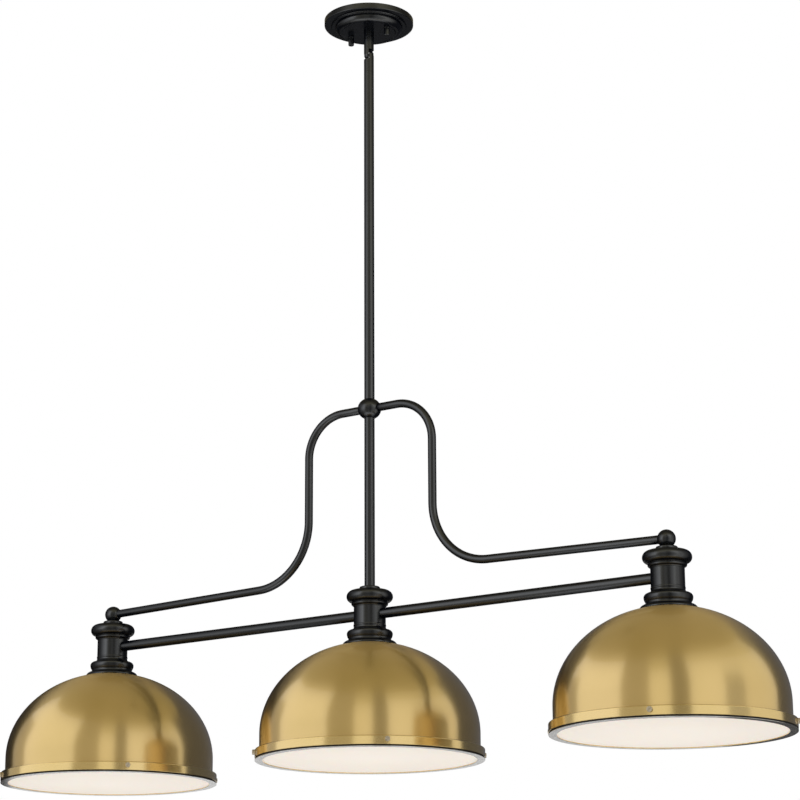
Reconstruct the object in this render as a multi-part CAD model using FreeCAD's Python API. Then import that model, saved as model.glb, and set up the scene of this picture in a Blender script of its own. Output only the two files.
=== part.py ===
"""Linear island pendant with three spun dome shades.

Millimetres.  The origin is the centre of the crossbar's top face, in the ceiling plane.
+Z points up and X runs along the row of lamps.
"""
import FreeCAD, Part
import os
from math import cos, pi, radians, sin, sqrt, tan

V = FreeCAD.Vector

# Whole object
lamp_spacing = 508.0        # from one lamp's axis to the next
overall_drop = 1190.5       # ceiling down to the underside of the rings
pivot_to_seam = 251.0       # swivel pin down to the joint between the two rods
ball_to_bar = 322.0         # centre ball down to the horizontal bars
finial_rise = 54.0          # bars up to the finial balls on the end lamps
neck_drop = 43.0            # bars down to the crown of the domes

# Clearances and play
thread_gap = 0.1            # between a threaded piece and its tapped hole, on the radius
hole_gap = 0.25             # around a piece that passes through a plain hole
seat_gap = 0.3              # between curved faces that rest on each other
body_gap = 0.3              # between pieces that move against each other

# Threaded tube and its locknuts
nipple_r = 5.05
nipple_bore_r = 3.5
nipple_tip = 1.0            # thread left standing past a nut
locknut_flats = 15.0
locknut_h = 3.2

# Rods and stem
rod_r = 7.95
rod_wall = 1.5
rod_insert = 14.0           # length of the tapped insert in each rod end
coupler_reach = 11.0        # how far a coupling nipple goes into each rod

# Canopy, a spun pan with a stepped underside
canopy_wall = 1.2
canopy_rim_h = 9.5
canopy_depth = 20.5
canopy_edge_round = 1.2
canopy_flat_w = 11.5        # flat underside, from the upright rim in to the step
canopy_step_h = 2.6
canopy_ledge_w = 6.0        # from the step in to the cove
canopy_cove_w = 12.5
canopy_dish_edge = 2.0      # from a cap nut out to the edge of the dish

# Crossbar and what hangs the canopy from it
crossbar_end = 9.05         # from a slot's end to the strap's end
crossbar_w = 19.0
crossbar_t = 2.0
box_screw_spacing = 88.9
box_slot_l = 11.0
box_slot_r = 2.4
stud_spacing = 69.8
stud_r = 2.0
stud_tip = 8.0              # how far a stud stands out below the canopy
cap_nut_r = 4.6
cap_nut_h = 14.0
cap_nut_round = 1.2
ground_screw_x = 17.0
ground_screw_r = 1.9
ground_screw_head_r = 3.8
ground_screw_head_h = 2.2

# Splices inside the canopy
wire_nut_r = 5.3
wire_nut_tip_r = 3.2
wire_nut_l = 17.0
wire_nut_reach = 14.0       # from the canopy's axis to the nut's mouth
lead_entry = 1.5            # how far a lead goes into its nut
lead_r = 1.0
lead_circle_r = 1.9         # the three leads stand on this circle in the nipple

# Hang-straight swivel, a half-lap knuckle of the rod's own diameter
swivel_drop = 39.0          # canopy dish down to the pin
swivel_turn = 35.0          # direction of the pin, from +X towards +Y
swivel_lap = 8.3            # pin to the shoulder of each half
swivel_tail = 30.0          # pin down to the end of the lower half
swivel_pin_r = 2.4
swivel_pin_inset = 0.6      # from the pin's ends to the knuckle's surface
swivel_socket = 14.0        # depth of the tapped hole in each half

# Balls, arms and bars
centre_ball_r = 17.0
finial_r = 12.7
finial_foot_r = 8.6
arm_r = 6.35
arm_wall = 1.2
arm_plug = 6.0
arm_x = 115.0               # the arms' vertical runs, from the centre
arm_top_bend = 64.0
arm_foot_bend = 98.0
arm_fall = 1.3              # slope of the lower runs, down towards the end lamps
spigot_r = 4.0
spigot_l = 6.5              # into the centre ball
end_spigot_l = 4.5          # into a finial ball
spigot_bore_r = 1.8
plug_play = 1.0             # drill run-out behind a spigot's plug
bar_r = 8.0
bar_wall = 1.2
bar_entry = 0.6             # how far a bar stands into the barrel

# Neck of each lamp: collar, cap, barrel and base
collar_r = 15.6
collar_h = 4.8
collar_round = 2.2
cap_r = 35.2
cap_h = 27.0
cap_foot_r = 27.5
cap_foot_h = 8.6
cap_belly = 16.6            # barrel top up to the widest point of the cap
cap_top_r = 26.5
cap_spigot_h = 2.0
cap_wall = 3.2
cap_boss_r = 9.5
cap_cove_bow = 0.9          # hollow of the foot's cove
cap_foot_edge = 0.4
cap_swell_in = 1.3          # a point on the lower bulge, in from its widest point
cap_swell_drop = 4.2        # and below it
cap_shoulder_in = 1.6       # a point on the upper bulge, in from its widest point
cap_shoulder_rise = 5.4     # and above it
cap_crown_h = 1.2           # nearly flat top, from its edge up to the collar
cap_crown_r = 20.5
cap_crown_drop = 0.3
barrel_r = 24.2
barrel_wall = 2.5
barrel_top = 11.0           # bars up to the barrel's top edge
barrel_foot = 19.0          # bars down to the barrel's bottom
base_step_r = 27.9
base_step_h = 4.6
base_torus_r = 34.7
base_torus_mid = 11.2       # barrel's bottom down to the widest point of the torus
base_waist_r = 32.2
base_waist_drop = 19.2
base_flange_r = 41.0
base_flange_h = 6.4
base_wall = 3.0
base_rim = 0.2              # base's top edge, outside the barrel
base_cove_bow = 1.1
base_step_edge = 0.8
base_swell_in = 0.9         # a point on the upper torus, in from its widest point
base_swell_rise = 3.4       # and above it
base_tuck_in = 0.5          # a point on the lower torus, in from its widest point
base_tuck_drop = 3.0        # and below it
base_waist_edge = 0.3
base_waist_rise = 1.6
base_flare = 0.8            # flange's inner end, outside the waist
base_flange_in = 2.3        # a point on the flange's curve, in from its edge
base_flange_drop = 2.0
base_flange_edge = 1.6

# Dome, ring and diffuser
dome_r = 165.0
dome_rise = 137.5
dome_skirt = 35.0           # straight wall below the curve
dome_wall = 1.0
ring_reach = 6.5            # from the dome's wall out to the band's outer face
ring_h = 16.0
ring_wall = 1.2
ring_lip_w = 11.9           # from the band's outer face in to the opening
ring_edge_round = 1.1
diffuser_t = 3.0
diffuser_edge = 0.6         # between the diffuser and the ring's wall
screw_count = 4
screw_r = 1.6
screw_head_r = 3.2
screw_head_h = 4.4
screw_edge_round = 0.5
screw_slot_w = 0.9
screw_slot_d = 1.3

# Lampholder and bulb
washer_r = 14.0
washer_t = 1.5
socket_hub_r = 9.0
socket_hub_h = 6.0
socket_r = 19.0
socket_h = 34.0
socket_round = 2.0
socket_roof = 8.0
shell_wall = 0.5
shell_l = 24.0
bulb_base_r = 13.0
bulb_base_l = 25.0
bulb_r = 30.0
bulb_l = 110.0
bulb_wall = 1.0
bulb_tip_r = 4.5
bulb_cone_w = 3.0           # from the base's wall in to the foot of its tip
bulb_cone_h = 4.0
bulb_base_edge = 2.0
bulb_neck_bow = 2.0
inner_lead_r = 2.7
inner_lead_bend = 9.0

# Radii that follow from what a piece holds
canopy_dish_r = stud_spacing / 2 + cap_nut_r + canopy_dish_edge
canopy_cove_r = canopy_dish_r + canopy_cove_w
canopy_step_r = canopy_cove_r + canopy_ledge_w
canopy_r = canopy_step_r + canopy_flat_w
crossbar_l = box_screw_spacing + box_slot_l + 2 * crossbar_end
ring_r = dome_r + ring_reach
ring_lip_r = ring_r - ring_lip_w

# Levels: from the ceiling down to the rods' joint, and from the rings up to the centre ball
dish_z = -canopy_depth
pivot_z = dish_z - swivel_drop
seam_z = pivot_z - pivot_to_seam
ring_z = -overall_drop
dome_edge_z = ring_z + ring_wall + diffuser_t + body_gap
skirt_top_z = dome_edge_z + dome_skirt
crown_z = skirt_top_z + dome_rise
bar_z = crown_z + neck_drop
ball_z = bar_z + ball_to_bar
finial_z = bar_z + finial_rise
barrel_top_z = bar_z + barrel_top
barrel_foot_z = bar_z - barrel_foot
cap_top_z = barrel_top_z + cap_h
collar_top_z = cap_top_z + collar_h

# Each lamp: its place, the sides where a bar enters, and the turn of its ring's screws
lamps = {
    "left": {"x": -lamp_spacing, "bar_sides": [1], "screw_turn": 50.0},
    "middle": {"x": 0.0, "bar_sides": [-1, 1], "screw_turn": 43.0},
    "right": {"x": lamp_spacing, "bar_sides": [-1], "screw_turn": 18.0},
}


def point(r, z):
    """A point of a turned profile, in the XZ plane."""
    return V(r, 0, z)


def turned(start, *steps):
    """Solid of revolution about Z.  A step is a point, or (through, end) for an arc."""
    edges = []
    here = point(*start)
    for step in steps:
        if isinstance(step[0], tuple):
            end = point(*step[1])
            edges.append(Part.Arc(here, point(*step[0]), end).toShape())
        else:
            end = point(*step)
            edges.append(Part.LineSegment(here, end).toShape())
        here = end
    edges.append(Part.LineSegment(here, point(*start)).toShape())
    face = Part.Face(Part.Wire(edges))
    return face.revolve(V(0, 0, 0), V(0, 0, 1), 360)


def ellipse_edge(semi_r, semi_z, centre_z, r_from, r_to):
    """Edge along a quarter ellipse about the axis, from one radius to another."""
    long_way = semi_r >= semi_z
    across = point(semi_r, centre_z)
    top = point(0, centre_z + semi_z)
    if long_way:
        curve = Part.Ellipse(across, top, point(0, centre_z))
    else:
        curve = Part.Ellipse(top, across, point(0, centre_z))
    ends = [curve.parameter(point(r, ellipse_z(semi_r, semi_z, centre_z, r))) for r in (r_from, r_to)]
    return Part.ArcOfEllipse(curve, min(ends), max(ends)).toShape()


def ellipse_z(semi_r, semi_z, centre_z, r):
    """Height of that ellipse at a radius."""
    return centre_z + semi_z * sqrt(1 - (r / semi_r) ** 2)


def tube(outer, inner, z_low, z_high):
    """Plain round tube standing on Z."""
    return turned((inner, z_low), (outer, z_low), (outer, z_high), (inner, z_high))


def rod(outer, inner, z_low, z_high):
    """Round tube along Z with a tapped insert brazed into each end."""
    tapped = nipple_r + thread_gap
    return turned(
        (tapped, z_low), (outer, z_low), (outer, z_high), (tapped, z_high),
        (tapped, z_high - rod_insert), (inner, z_high - rod_insert),
        (inner, z_low + rod_insert), (tapped, z_low + rod_insert))


def cylinder_x(r, x_low, x_high, z):
    """Round bar along X at a height."""
    return Part.makeCylinder(r, x_high - x_low, V(x_low, 0, z), V(1, 0, 0))


def hex_nut(flats, bore_r, z_low, height):
    """Hexagon nut on the Z axis."""
    corner = flats / sqrt(3)
    corners = [V(corner * cos(k * pi / 3), corner * sin(k * pi / 3), z_low) for k in range(7)]
    nut = Part.Face(Part.makePolygon(corners)).extrude(V(0, 0, height))
    return nut.cut(Part.makeCylinder(bore_r, height, V(0, 0, z_low)))


def at(shape, x):
    """A copy of a shape, moved along X."""
    moved = shape.copy()
    moved.translate(V(x, 0, 0))
    return moved


def pipe(path_edges, radius):
    """Round bar swept along straight runs and tangent arcs."""
    path = Part.Wire(path_edges)
    start = path_edges[0].Vertexes[0].Point
    direction = path_edges[0].tangentAt(path_edges[0].FirstParameter)
    section = Part.Wire(Part.makeCircle(radius, start, direction))
    return path.makePipeShell([section], True, False)


def save(name, *solids):
    """Write one node: one solid, or a group of like pieces."""
    shape = solids[0] if len(solids) == 1 else Part.makeCompound(list(solids))
    shape.exportStep("parts/" + name + ".step")


# ---------------------------------------------------------------- ceiling pieces

def crossbar():
    """Steel strap: two slots for the box screws, two tapped holes, one ground hole."""
    strap = Part.makeBox(crossbar_l, crossbar_w, crossbar_t,
                         V(-crossbar_l / 2, -crossbar_w / 2, -crossbar_t))
    strap = strap.makeFillet(crossbar_w / 4, [e for e in strap.Edges if is_upright(e)])
    for side in (-1, 1):
        slot_x = side * box_screw_spacing / 2
        half = box_slot_l / 2 - box_slot_r
        slot = Part.makeBox(2 * half, 2 * box_slot_r, crossbar_t, V(slot_x - half, -box_slot_r, -crossbar_t))
        for end in (-half, half):
            slot = slot.fuse(Part.makeCylinder(box_slot_r, crossbar_t, V(slot_x + end, 0, -crossbar_t)))
        strap = strap.cut(slot)
        strap = strap.cut(Part.makeCylinder(stud_r + thread_gap, crossbar_t,
                                            V(side * stud_spacing / 2, 0, -crossbar_t)))
    return strap.cut(Part.makeCylinder(ground_screw_r + thread_gap, crossbar_t,
                                       V(ground_screw_x, 0, -crossbar_t)))


def is_upright(edge):
    """True for a straight edge along Z."""
    a, b = edge.Vertexes[0].Point, edge.Vertexes[-1].Point
    return abs(a.x - b.x) < 1e-6 and abs(a.y - b.y) < 1e-6


def crossbar_stud():
    """Threaded stud from the crossbar down through the canopy."""
    return Part.makeCylinder(stud_r, canopy_depth + stud_tip, V(0, 0, dish_z - stud_tip))


def ground_screw():
    """Round-head screw up into the crossbar from below."""
    shank = Part.makeCylinder(ground_screw_r, crossbar_t, V(0, 0, -crossbar_t))
    head_z = -crossbar_t - ground_screw_head_h
    head = turned((0, head_z), (ground_screw_head_r * 0.6, head_z),
                  ((ground_screw_head_r * 0.92, head_z + ground_screw_head_h * 0.35),
                   (ground_screw_head_r, -crossbar_t)), (0, -crossbar_t))
    return head.fuse(shank).removeSplitter()


def canopy():
    """Spun pan: upright rim, flat underside, a step, a cove and the flat dish."""
    wall = canopy_wall
    edge = canopy_edge_round
    inner_edge = edge / 2
    rim_z = -canopy_rim_h
    step_z = rim_z - canopy_step_h
    bow = (canopy_cove_r - canopy_dish_r) * 0.3
    cove_mid = ((canopy_cove_r + canopy_dish_r) / 2 + bow, (step_z + dish_z) / 2 - bow * 0.6)
    corner = 1 - sqrt(0.5)
    pan = turned(
        (canopy_r - wall, 0), (canopy_r, 0), (canopy_r, rim_z + edge),
        ((canopy_r - edge * corner, rim_z + edge * corner), (canopy_r - edge, rim_z)),
        (canopy_step_r + edge, rim_z),
        ((canopy_step_r + edge * corner, rim_z - edge * corner), (canopy_step_r, rim_z - edge)),
        (canopy_step_r, step_z + inner_edge), (canopy_step_r - inner_edge, step_z),
        (canopy_cove_r, step_z), (cove_mid, (canopy_dish_r, dish_z)),
        (nipple_r + hole_gap, dish_z), (nipple_r + hole_gap, dish_z + wall),
        (canopy_dish_r - wall / 2, dish_z + wall),
        ((cove_mid[0] - wall * 0.7, cove_mid[1] + wall * 0.8), (canopy_cove_r - wall, step_z + wall)),
        (canopy_step_r - wall, step_z + wall), (canopy_step_r - wall, rim_z + wall),
        (canopy_r - wall, rim_z + wall))
    for side in (-1, 1):
        hole = Part.makeCylinder(stud_r + hole_gap, canopy_depth, V(side * stud_spacing / 2, 0, dish_z))
        pan = pan.cut(hole)
    return pan


def cap_nut():
    """Round thumb nut, closed at its lower end, on a stud below the dish."""
    low = dish_z - cap_nut_h
    body = turned(
        (0, low), (cap_nut_r - cap_nut_round, low), (cap_nut_r, low + cap_nut_round),
        (cap_nut_r, dish_z - cap_nut_round / 2), (cap_nut_r - cap_nut_round / 2, dish_z), (0, dish_z))
    depth = stud_tip + thread_gap
    return body.cut(Part.makeCylinder(stud_r + thread_gap, depth, V(0, 0, dish_z - depth)))


nut_top_z = dish_z + canopy_wall + locknut_h
splice_z = dish_z + canopy_wall + wire_nut_r


def wire_nut(turn):
    """Twist-on connector lying on the canopy's floor, mouth towards the nipple."""
    mouth = V(wire_nut_reach, 0, splice_z)
    tilt = (wire_nut_r - wire_nut_tip_r) / wire_nut_l
    axis = V(1, 0, -tilt)
    body = Part.makeCone(wire_nut_r, wire_nut_tip_r, wire_nut_l, mouth, axis)
    bore = Part.makeCylinder(lead_r + hole_gap, wire_nut_l / 2, mouth, axis)
    body = body.cut(bore)
    body.translate(V(0, 0, seat_gap))
    body.rotate(V(0, 0, 0), V(0, 0, 1), turn)
    return body


def canopy_lead(turn):
    """Fixture lead: up out of the nipple, over its edge and into its connector."""
    bend = splice_z + seat_gap - nut_top_z
    start = V(lead_circle_r, 0, dish_z - swivel_socket + thread_gap)
    foot = V(lead_circle_r, 0, nut_top_z)
    corner = 1 - sqrt(0.5)
    middle = V(lead_circle_r + bend * corner, 0, nut_top_z + bend * (1 - corner))
    over = V(lead_circle_r + bend, 0, nut_top_z + bend)
    end = V(wire_nut_reach + lead_entry, 0, nut_top_z + bend)
    lead = pipe([Part.LineSegment(start, foot).toShape(), Part.Arc(foot, middle, over).toShape(),
                 Part.LineSegment(over, end).toShape()], lead_r)
    lead.rotate(V(0, 0, 0), V(0, 0, 1), turn)
    return lead


# ---------------------------------------------------------------- swivel and rods

def swivel_half(z_far, side):
    """Half of the knuckle: a round body, a rounded tongue on one side, and a pin hole.

    side is +1 for the half whose tongue lies towards the pin's head.
    """
    up = 1 if z_far > pivot_z else -1
    shoulder_z = pivot_z + up * swivel_lap
    low, high = sorted((z_far, shoulder_z))
    body = Part.makeCylinder(rod_r, high - low, V(0, 0, low))
    tongue_low, tongue_high = sorted((pivot_z, shoulder_z))
    tongue = Part.makeCylinder(rod_r, tongue_high - tongue_low, V(0, 0, tongue_low))
    end = Part.makeSphere(rod_r, V(0, 0, pivot_z))
    lap = body_gap / 2
    half = Part.makeBox(rod_r, 4 * rod_r, 4 * rod_r, V(lap, -2 * rod_r, pivot_z - 2 * rod_r))
    if side < 0:
        half.rotate(V(0, 0, 0), V(0, 0, 1), 180)
    tongue = tongue.fuse(end).common(half)
    knuckle = body.fuse(tongue).removeSplitter()
    knuckle = knuckle.cut(cylinder_x(swivel_pin_r + body_gap / 3, -rod_r, rod_r, pivot_z))
    tap = nipple_r + thread_gap
    if up > 0:
        knuckle = knuckle.cut(Part.makeCylinder(tap, swivel_socket, V(0, 0, z_far - swivel_socket)))
    else:
        knuckle = knuckle.cut(Part.makeCylinder(tap, swivel_socket, V(0, 0, z_far)))
    knuckle.rotate(V(0, 0, 0), V(0, 0, 1), swivel_turn)
    return knuckle


def swivel_pin():
    """Pin through both tongues."""
    reach = rod_r - swivel_pin_inset
    pin = cylinder_x(swivel_pin_r, -reach, reach, pivot_z)
    pin.rotate(V(0, 0, 0), V(0, 0, 1), swivel_turn)
    return pin


def centre_ball():
    """Ball with flats for the rod, the stem and both arms, drilled for them."""
    ball = Part.makeSphere(centre_ball_r, V(0, 0, ball_z))
    flat_z = seat_height(centre_ball_r, rod_r)
    flat_x = seat_height(centre_ball_r, arm_r)
    ball = ball.common(Part.makeBox(2 * flat_x, 2 * centre_ball_r, 2 * flat_z,
                                    V(-flat_x, -centre_ball_r, ball_z - flat_z)))
    ball = ball.cut(Part.makeCylinder(nipple_r + thread_gap, 2 * flat_z, V(0, 0, ball_z - flat_z)))
    for side in (-1, 1):
        low, high = sorted((side * (flat_x - spigot_l - thread_gap), side * flat_x))
        ball = ball.cut(cylinder_x(spigot_r + thread_gap, low, high, ball_z))
    return ball


def seat_height(ball_r, seat_r):
    """Distance from a ball's centre to a flat of a given radius."""
    return sqrt(ball_r ** 2 - seat_r ** 2)


def finial_ball(side):
    """Ball on the collar of an end lamp.  side points from the ball to its arm."""
    ball = Part.makeSphere(finial_r, V(0, 0, finial_z))
    foot_top = finial_z - seat_height(finial_r, finial_foot_r)
    if foot_top > collar_top_z:
        ball = ball.fuse(Part.makeCylinder(finial_foot_r, foot_top - collar_top_z, V(0, 0, collar_top_z)))
    room = 4 * finial_r
    ball = ball.common(Part.makeBox(room, room, room, V(-room / 2, -room / 2, collar_top_z)))
    ball = ball.cut(Part.makeCylinder(nipple_r + thread_gap, coupler_reach, V(0, 0, collar_top_z)))
    towards_arm = V(side * cos(radians(arm_fall)), 0, sin(radians(arm_fall)))
    flat = seat_height(finial_r, arm_r)
    beyond = Part.makeCylinder(finial_r, finial_r, V(0, 0, finial_z) + towards_arm * flat, towards_arm)
    ball = ball.cut(beyond)
    depth = end_spigot_l + thread_gap
    bore_end = V(0, 0, finial_z) + towards_arm * (flat - depth)
    return ball.cut(Part.makeCylinder(spigot_r + thread_gap, depth, bore_end, towards_arm))


def arm(side):
    """Bent tube from the centre ball out, down, and out again with a slight fall to a finial ball."""
    fall = radians(arm_fall)
    top, foot = arm_top_bend, arm_foot_bend
    start_x = seat_height(centre_ball_r, arm_r)
    outward = V(side * cos(fall), 0, -sin(fall))
    end = V(side * lamp_spacing, 0, finial_z) - outward * seat_height(finial_r, arm_r)
    foot_x = arm_x + foot
    foot_z = finial_z + (lamp_spacing - foot_x) * tan(fall) + foot / cos(fall)

    def spot(x, z):
        return V(side * x, 0, z)

    def on_foot(angle):
        return spot(foot_x - foot * cos(angle), foot_z - foot * sin(angle))

    def path(inset):
        corner = top * (1 - sqrt(0.5))
        bend = pi / 2 - fall
        return [
            Part.LineSegment(spot(start_x + inset, ball_z), spot(arm_x - top, ball_z)).toShape(),
            Part.Arc(spot(arm_x - top, ball_z), spot(arm_x - corner, ball_z - corner),
                     spot(arm_x, ball_z - top)).toShape(),
            Part.LineSegment(spot(arm_x, ball_z - top), on_foot(0)).toShape(),
            Part.Arc(on_foot(0), on_foot(bend / 2), on_foot(bend)).toShape(),
            Part.LineSegment(on_foot(bend), end - outward * inset).toShape()]

    shape = pipe(path(0), arm_r).cut(pipe(path(arm_plug), arm_r - arm_wall))
    ends = ((spot(start_x, ball_z), V(-side, 0, 0), spigot_l), (end, outward, end_spigot_l))
    for seat, direction, reach in ends:
        shape = shape.fuse(Part.makeCylinder(spigot_r, reach, seat, direction))
        depth = arm_plug + plug_play + reach
        shape = shape.cut(Part.makeCylinder(spigot_bore_r, depth, seat + direction * reach, direction * -1))
    return shape


def bar(side):
    """Straight tube between the middle barrel and an end barrel."""
    inside = sqrt((barrel_r - barrel_wall) ** 2 - bar_r ** 2) - bar_entry
    low, high = sorted((side * inside, side * (lamp_spacing - inside)))
    return cylinder_x(bar_r, low, high, bar_z).cut(cylinder_x(bar_r - bar_wall, low, high, bar_z))


# ---------------------------------------------------------------- neck of a lamp

def collar():
    """Small turned ring between the cap and what stands on it."""
    corner = collar_round * (1 - sqrt(0.5))
    return turned(
        (nipple_r + hole_gap, cap_top_z), (collar_r, cap_top_z), (collar_r, collar_top_z - collar_round),
        ((collar_r - corner, collar_top_z - corner), (collar_r - collar_round, collar_top_z)),
        (nipple_r + hole_gap, collar_top_z))


def neck_cap():
    """Turned cap: a coved foot on the barrel, a wide rounded bulge, a boss for the nipple."""
    z = barrel_top_z
    bore = nipple_r + hole_gap
    spigot = barrel_r - barrel_wall - hole_gap
    foot_top = z + cap_foot_h
    roof_z = cap_top_z - cap_wall - cap_crown_h
    belly_z = z + cap_belly
    return turned(
        (spigot - cap_wall, z - cap_spigot_h), (spigot, z - cap_spigot_h), (spigot, z), (barrel_r, z),
        ((barrel_r + cap_cove_bow, z + cap_foot_h * 0.38),
         (cap_foot_r - cap_foot_edge, z + cap_foot_h * 0.62)),
        (cap_foot_r, z + cap_foot_h * 0.66), (cap_foot_r, foot_top),
        ((cap_r - cap_swell_in, belly_z - cap_swell_drop), (cap_r, belly_z)),
        ((cap_r - cap_shoulder_in, belly_z + cap_shoulder_rise), (cap_top_r, cap_top_z - cap_crown_h)),
        ((cap_crown_r, cap_top_z - cap_crown_drop), (collar_r - cap_crown_h, cap_top_z)), (bore, cap_top_z),
        (bore, z - cap_spigot_h), (cap_boss_r, z - cap_spigot_h), (cap_boss_r, roof_z),
        (cap_top_r - cap_wall, roof_z), (cap_r - cap_wall * 1.2, belly_z),
        (cap_foot_r - cap_wall * 1.3, foot_top), (spigot - cap_wall, z + cap_foot_h * 0.4))


def neck_barrel(bar_sides):
    """Drawn cup that the bars enter, open at the top."""
    inner = barrel_r - barrel_wall
    floor_z = barrel_foot_z + barrel_wall
    cup = turned(
        (nipple_r + hole_gap, barrel_foot_z), (barrel_r, barrel_foot_z), (barrel_r, barrel_top_z),
        (inner, barrel_top_z), (inner, floor_z), (nipple_r + hole_gap, floor_z))
    for side in bar_sides:
        low, high = sorted((0, side * 2 * barrel_r))
        cup = cup.cut(cylinder_x(bar_r + thread_gap, low, high, bar_z))
    return cup


def neck_base():
    """Turned base: cove, torus, waist and a flange that sits on the dome."""
    z = barrel_foot_z
    bore = nipple_r + hole_gap
    inner_r = base_waist_r - base_wall
    seat_low = dome_top_z(base_flange_r) + seat_gap
    seat_mid_r = (inner_r + base_flange_r) / 2
    flange_top = seat_low + base_flange_h
    torus_z = z - base_torus_mid
    return turned(
        (bore, z), (barrel_r + base_rim, z),
        ((barrel_r + base_cove_bow, z - base_step_h * 0.68), (base_step_r, z - base_step_h)),
        (base_step_r, z - base_step_h - base_step_edge),
        ((base_torus_r - base_swell_in, torus_z + base_swell_rise), (base_torus_r, torus_z)),
        ((base_torus_r - base_tuck_in, torus_z - base_tuck_drop),
         (base_waist_r + base_waist_edge, z - base_waist_drop + base_waist_rise)),
        ((base_waist_r, z - base_waist_drop), (base_waist_r + base_flare, flange_top)),
        ((base_flange_r - base_flange_in, flange_top - base_flange_drop),
         (base_flange_r, seat_low + base_flange_edge)),
        (base_flange_r, seat_low),
        ((seat_mid_r, dome_top_z(seat_mid_r) + seat_gap), (inner_r, dome_top_z(inner_r) + seat_gap)),
        (inner_r, torus_z), (base_step_r - base_wall, z - base_step_h - base_wall * 0.4),
        (barrel_r - base_wall, z - base_wall), (bore, z - base_wall))


def dome_top_z(r):
    """Height of the dome's outer face at a radius."""
    return ellipse_z(dome_r, dome_rise, skirt_top_z, r)


def dome_under_z(r):
    """Height of the dome's inner face at a radius."""
    return ellipse_z(dome_r - dome_wall, dome_rise - dome_wall, skirt_top_z, r)


# ---------------------------------------------------------------- inside a lamp

washer_z = dome_under_z(washer_r) - seat_gap - washer_t
dome_nut_z = washer_z - locknut_h
socket_top_z = dome_nut_z - thread_gap
socket_roof_z = socket_top_z - socket_hub_h
nipple_end_z = socket_roof_z + nipple_tip
socket_floor_z = socket_roof_z - socket_roof
socket_edge_z = socket_roof_z - socket_h
socket_bore_r = bulb_base_r + hole_gap + shell_wall + thread_gap
bulb_tip_z = socket_floor_z - shell_wall - seat_gap
bulb_end_z = bulb_tip_z - bulb_l


def lower_nipple():
    """Threaded tube that hangs base, dome and lampholder from the barrel."""
    return tube(nipple_r, nipple_bore_r, nipple_end_z, barrel_foot_z + barrel_wall + locknut_h + nipple_tip)


def upper_nipple():
    """Threaded tube that draws cap and collar onto the barrel."""
    low = barrel_top_z - cap_spigot_h - locknut_h - nipple_tip
    return tube(nipple_r, nipple_bore_r, low, collar_top_z + coupler_reach - nipple_tip)


def lamp_locknuts():
    """The three hexagon locknuts of one lamp."""
    bore = nipple_r + thread_gap
    return [hex_nut(locknut_flats, bore, barrel_top_z - cap_spigot_h - locknut_h, locknut_h),
            hex_nut(locknut_flats, bore, barrel_foot_z + barrel_wall, locknut_h),
            hex_nut(locknut_flats, bore, dome_nut_z, locknut_h)]


def dome_washer():
    """Washer that spreads the locknut's load under the dome's crown."""
    return tube(washer_r, nipple_r + hole_gap, washer_z, washer_z + washer_t)


def socket():
    """Porcelain lampholder: tapped hub, solid roof and an open cup."""
    tap = nipple_r + thread_gap
    wire = inner_lead_r + hole_gap
    corner = socket_round * (1 - sqrt(0.5))
    return turned(
        (tap, socket_top_z), (socket_hub_r, socket_top_z), (socket_hub_r, socket_roof_z),
        (socket_r - socket_round, socket_roof_z),
        ((socket_r - corner, socket_roof_z - corner), (socket_r, socket_roof_z - socket_round)),
        (socket_r, socket_edge_z), (socket_bore_r, socket_edge_z), (socket_bore_r, socket_floor_z),
        (wire, socket_floor_z), (wire, nipple_end_z - thread_gap), (tap, nipple_end_z - thread_gap))


def socket_shell():
    """Brass screw shell in the lampholder."""
    outer = socket_bore_r - thread_gap
    low = socket_floor_z - shell_l
    roof = socket_floor_z - shell_wall
    return turned((outer, low), (outer, socket_floor_z), (inner_lead_r + hole_gap, socket_floor_z),
                  (inner_lead_r + hole_gap, roof), (outer - shell_wall, roof), (outer - shell_wall, low))


def bulb():
    """Screw-base bulb: solid base, hollow pear-shaped envelope."""
    neck_z = bulb_tip_z - bulb_base_l
    belly_z = bulb_end_z + bulb_r
    thin = bulb_wall
    reach = bulb_r * sqrt(0.5)
    joint_r = bulb_r * cos(radians(25))
    joint_z = belly_z + bulb_r * sin(radians(25))
    mid = ((bulb_base_r + joint_r) / 2 - bulb_neck_bow, (neck_z + joint_z) / 2 + bulb_neck_bow)
    cone_z = bulb_tip_z - bulb_cone_h
    return turned(
        (0, bulb_tip_z), (bulb_tip_r, bulb_tip_z), (bulb_base_r - bulb_cone_w, cone_z),
        (bulb_base_r, cone_z - bulb_base_edge),
        (bulb_base_r, neck_z), (mid, (joint_r, joint_z)),
        ((reach, belly_z - reach), (0, bulb_end_z)), (0, bulb_end_z + thin),
        ((reach - thin * 0.7, belly_z - reach + thin * 0.7), (joint_r - thin, joint_z)),
        ((mid[0] - thin, mid[1]), (bulb_base_r - thin, neck_z)), (0, neck_z))


def dome():
    """Spun shade: straight skirt and a half-ellipse crown, open at the bottom."""
    hole = nipple_r + hole_gap
    inner_r, inner_rise = dome_r - dome_wall, dome_rise - dome_wall
    outer = ellipse_edge(dome_r, dome_rise, skirt_top_z, hole, dome_r)
    inner = ellipse_edge(inner_r, inner_rise, skirt_top_z, hole, inner_r)
    corners = [(dome_r, skirt_top_z), (dome_r, dome_edge_z), (inner_r, dome_edge_z), (inner_r, skirt_top_z)]
    lines = [Part.LineSegment(point(*a), point(*b)).toShape() for a, b in zip(corners, corners[1:])]
    hole_edge = Part.LineSegment(point(hole, dome_under_z(hole)), point(hole, dome_top_z(hole))).toShape()
    wire = Part.Wire(Part.sortEdges([outer, *lines, inner, hole_edge])[0])
    return Part.Face(wire).revolve(V(0, 0, 0), V(0, 0, 1), 360)


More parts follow.
